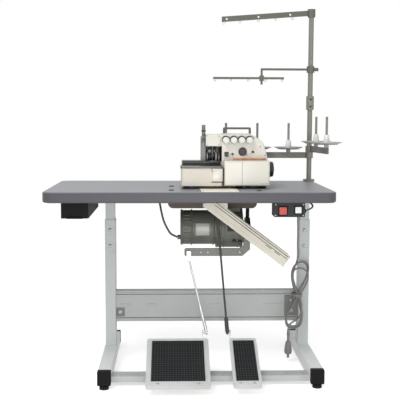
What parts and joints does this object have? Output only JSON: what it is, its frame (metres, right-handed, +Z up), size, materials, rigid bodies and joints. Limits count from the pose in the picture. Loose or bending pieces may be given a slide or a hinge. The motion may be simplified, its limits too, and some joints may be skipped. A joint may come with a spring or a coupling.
{
  "type": "industrial overlock sewing machine set",
  "caption": "Overlock machine head on a T-legged table with treadles, under-table clutch motor and belt, waste chute, drawer, switch and a thread stand on a mast.",
  "frame": {"origin": "on the floor, at the bottom centre of the box round the set without its power cord", "axes": "+X to the operator's right along the table, +Y away from the operator, +Z up"},
  "size_m": [1.13, 0.6814, 1.458],
  "materials": {
    "table_grey": "grey laminate, satin",
    "leg_grey": "light grey powder coat",
    "cap_black": "matte",
    "glide_rubber": "matte rubber",
    "rail_grey": "grey powder coat",
    "drawer_black": "matte",
    "treadle_white": "white enamel",
    "mat_black": "ribbed rubber",
    "rod_steel": "zinc plated",
    "rod_dark": "blackened steel",
    "motor_green": "grey-green hammer paint",
    "board_brown": "stained plywood",
    "pulley_metal": "cast and turned",
    "belt_rubber": "matte",
    "switch_dark": "satin",
    "button_red": "gloss",
    "button_white": "gloss",
    "cord_grey": "satin vinyl",
    "chute_cream": "cream enamel",
    "head_cream": "cream-white enamel",
    "plate_steel": "polished steel",
    "mechanism_dark": "oiled dark steel",
    "knob_white": "gloss",
    "window_glass": "smoked",
    "handle_grey": "satin",
    "wheel_black": "satin",
    "stand_grey": "grey enamel",
    "spool_grey": "satin",
    "cone_white": "satin"
  },
  "bodies": {
    "stand": {"carry_handle": "handle_grey", "clutch_housing": "motor_green", "cord_hank": "cord_grey", "drawer_hanger": "drawer_black", "drive_belt": "belt_rubber", "face_plate": "head_cream", "foot_caps": "cap_black", "foot_rail": "rail_grey", "foot_tubes": "leg_grey", "head_casing": "head_cream", "head_cushions": "glide_rubber", "inner_columns": "leg_grey", "left_column": "leg_grey", "levelling_feet": "glide_rubber", "mast_coupler": "stand_grey", "mast_lower": "stand_grey", "mast_upper": "stand_grey", "motor_board": "board_brown", "motor_cable": "cord_grey", "motor_housing": "motor_green", "oil_window": "window_glass", "power_cord": "cord_grey", "power_plug": "cord_grey", "presser_regulator": "mechanism_dark", "rear_rail": "rail_grey", "right_column": "leg_grey", "spool_arm_front": "stand_grey", "spool_arm_left": "stand_grey", "spool_cones": "cone_white", "spool_discs": "spool_grey", "spool_pins": "stand_grey", "switch_box": "switch_dark", "table_top": "table_grey", "treadle_brackets": "rail_grey", "waste_chute": "chute_cream"},
    "large_treadle": {"large_treadle": "treadle_white", "large_treadle_mat": "mat_black"},
    "small_treadle": {"small_treadle": "treadle_white", "small_treadle_mat": "mat_black"},
    "pitman_rod": {"pitman_rod": "rod_steel"},
    "lifter_rod": {"lifter_rod": "rod_dark"},
    "clutch_lever": {"clutch_lever": "motor_green"},
    "motor_pulley": {"motor_pulley": "pulley_metal"},
    "handwheel": {"handwheel": "wheel_black", "main_shaft": "pulley_metal"},
    "needle_bar": {"needle_bar": "plate_steel"},
    "presser_foot": {"presser_foot": "plate_steel"},
    "front_cover": {"front_cover": "head_cream"},
    "cloth_plate": {"cloth_plate": "plate_steel", "side_cover": "head_cream"},
    "drawer": {"drawer": "drawer_black"},
    "stop_button": {"stop_button": "button_red"},
    "start_button": {"start_button": "button_white"},
    "top_arm": {"top_arm": "stand_grey"},
    "guide_arm": {"guide_arm": "stand_grey", "guide_bar": "stand_grey"},
    "tension_knob_1": {"tension_knob_1": "knob_white"},
    "tension_knob_2": {"tension_knob_2": "knob_white"},
    "tension_knob_3": {"tension_knob_3": "knob_white"},
    "tension_knob_4": {"tension_knob_4": "knob_white"}
  },
  "joints": [
    {"name": "large_treadle_tilt", "type": "hinge", "parent": "stand", "child": "large_treadle", "pos_m": [-0.07799, -0.18626, 0.084], "axis": [1, 0, 0], "range_deg": [-12, 0], "stiffness_Nm_per_rad": 20},
    {"name": "small_treadle_tilt", "type": "hinge", "parent": "stand", "child": "small_treadle", "pos_m": [0.17701, -0.18626, 0.084], "axis": [1, 0, 0], "range_deg": [-12, 0], "stiffness_Nm_per_rad": 15},
    {"name": "pitman_rod_pivot", "type": "hinge", "parent": "large_treadle", "child": "pitman_rod", "pos_m": [0.03501, -0.09126, 0.172], "axis": [1, 0, 0], "range_deg": [0, 15.3]},
    {"name": "lifter_rod_pivot", "type": "hinge", "parent": "small_treadle", "child": "lifter_rod", "pos_m": [0.11701, -0.09126, 0.172], "axis": [1, 0, 0], "range_deg": [0, 13.7]},
    {"name": "clutch_lever_tilt", "type": "hinge", "parent": "stand", "child": "clutch_lever", "pos_m": [0.19401, -0.05926, 0.534], "axis": [0, 1, 0], "range_deg": [-5.3, 0]},
    {"name": "handwheel_spin", "type": "hinge", "parent": "stand", "child": "handwheel", "pos_m": [0.26701, -0.03426, 0.812], "axis": [1, 0, 0], "continuous": true},
    {"name": "motor_pulley_spin", "type": "hinge", "parent": "stand", "child": "motor_pulley", "pos_m": [0.20001, 0.00274, 0.578], "axis": [1, 0, 0], "continuous": true},
    {"name": "needle_bar_stroke", "type": "slide", "parent": "stand", "child": "needle_bar", "axis": [0, 0, 1], "range_m": [0, 0.024]},
    {"name": "presser_foot_lift", "type": "slide", "parent": "stand", "child": "presser_foot", "axis": [0, 0, 1], "range_m": [0, 0.0071]},
    {"name": "tension_knob_1_turn", "type": "hinge", "parent": "stand", "child": "tension_knob_1", "pos_m": [0.10301, -0.14526, 0.928], "axis": [0, 1, 0], "range_deg": [-360, 360]},
    {"name": "tension_knob_2_turn", "type": "hinge", "parent": "stand", "child": "tension_knob_2", "pos_m": [0.13301, -0.14526, 0.928], "axis": [0, 1, 0], "range_deg": [-360, 360]},
    {"name": "tension_knob_3_turn", "type": "hinge", "parent": "stand", "child": "tension_knob_3", "pos_m": [0.16301, -0.14526, 0.928], "axis": [0, 1, 0], "range_deg": [-360, 360]},
    {"name": "tension_knob_4_turn", "type": "hinge", "parent": "stand", "child": "tension_knob_4", "pos_m": [0.19301, -0.14526, 0.928], "axis": [0, 1, 0], "range_deg": [-360, 360]},
    {"name": "front_cover_swing", "type": "hinge", "parent": "stand", "child": "front_cover", "pos_m": [0.17801, -0.20326, 0.766], "axis": [1, 0, 0], "range_deg": [0, 85]},
    {"name": "cloth_plate_swing", "type": "hinge", "parent": "stand", "child": "cloth_plate", "pos_m": [-0.06299, -0.10976, 0.8], "axis": [0, 0, 1], "range_deg": [-90, 0]},
    {"name": "drawer_slide", "type": "slide", "parent": "stand", "child": "drawer", "axis": [0, -1, 0], "range_m": [0, 0.25]},
    {"name": "stop_button_press", "type": "slide", "parent": "stand", "child": "stop_button", "axis": [0, 1, 0], "range_m": [0, 0.004], "stiffness_N_per_m": 600},
    {"name": "start_button_press", "type": "slide", "parent": "stand", "child": "start_button", "axis": [0, 1, 0], "range_m": [0, 0.004], "stiffness_N_per_m": 600},
    {"name": "top_arm_swivel", "type": "hinge", "parent": "stand", "child": "top_arm", "pos_m": [0.47451, 0.17674, 1.44], "axis": [0, 0, 1], "range_deg": [-60, 60]},
    {"name": "guide_arm_swivel", "type": "hinge", "parent": "stand", "child": "guide_arm", "pos_m": [0.47451, 0.17674, 1.213], "axis": [0, 0, 1], "range_deg": [-60, 60]}
  ],
  "couplings": [
    {"joint": "clutch_lever_tilt", "follows": "large_treadle_tilt", "ratio": 0.433},
    {"joint": "pitman_rod_pivot", "follows": "large_treadle_tilt", "ratio": -1.267},
    {"joint": "lifter_rod_pivot", "follows": "small_treadle_tilt", "ratio": -1.132},
    {"joint": "presser_foot_lift", "follows": "small_treadle_tilt", "m_per_rad": -0.03342},
    {"joint": "motor_pulley_spin", "follows": "handwheel_spin", "ratio": 0.82353}
  ]
}
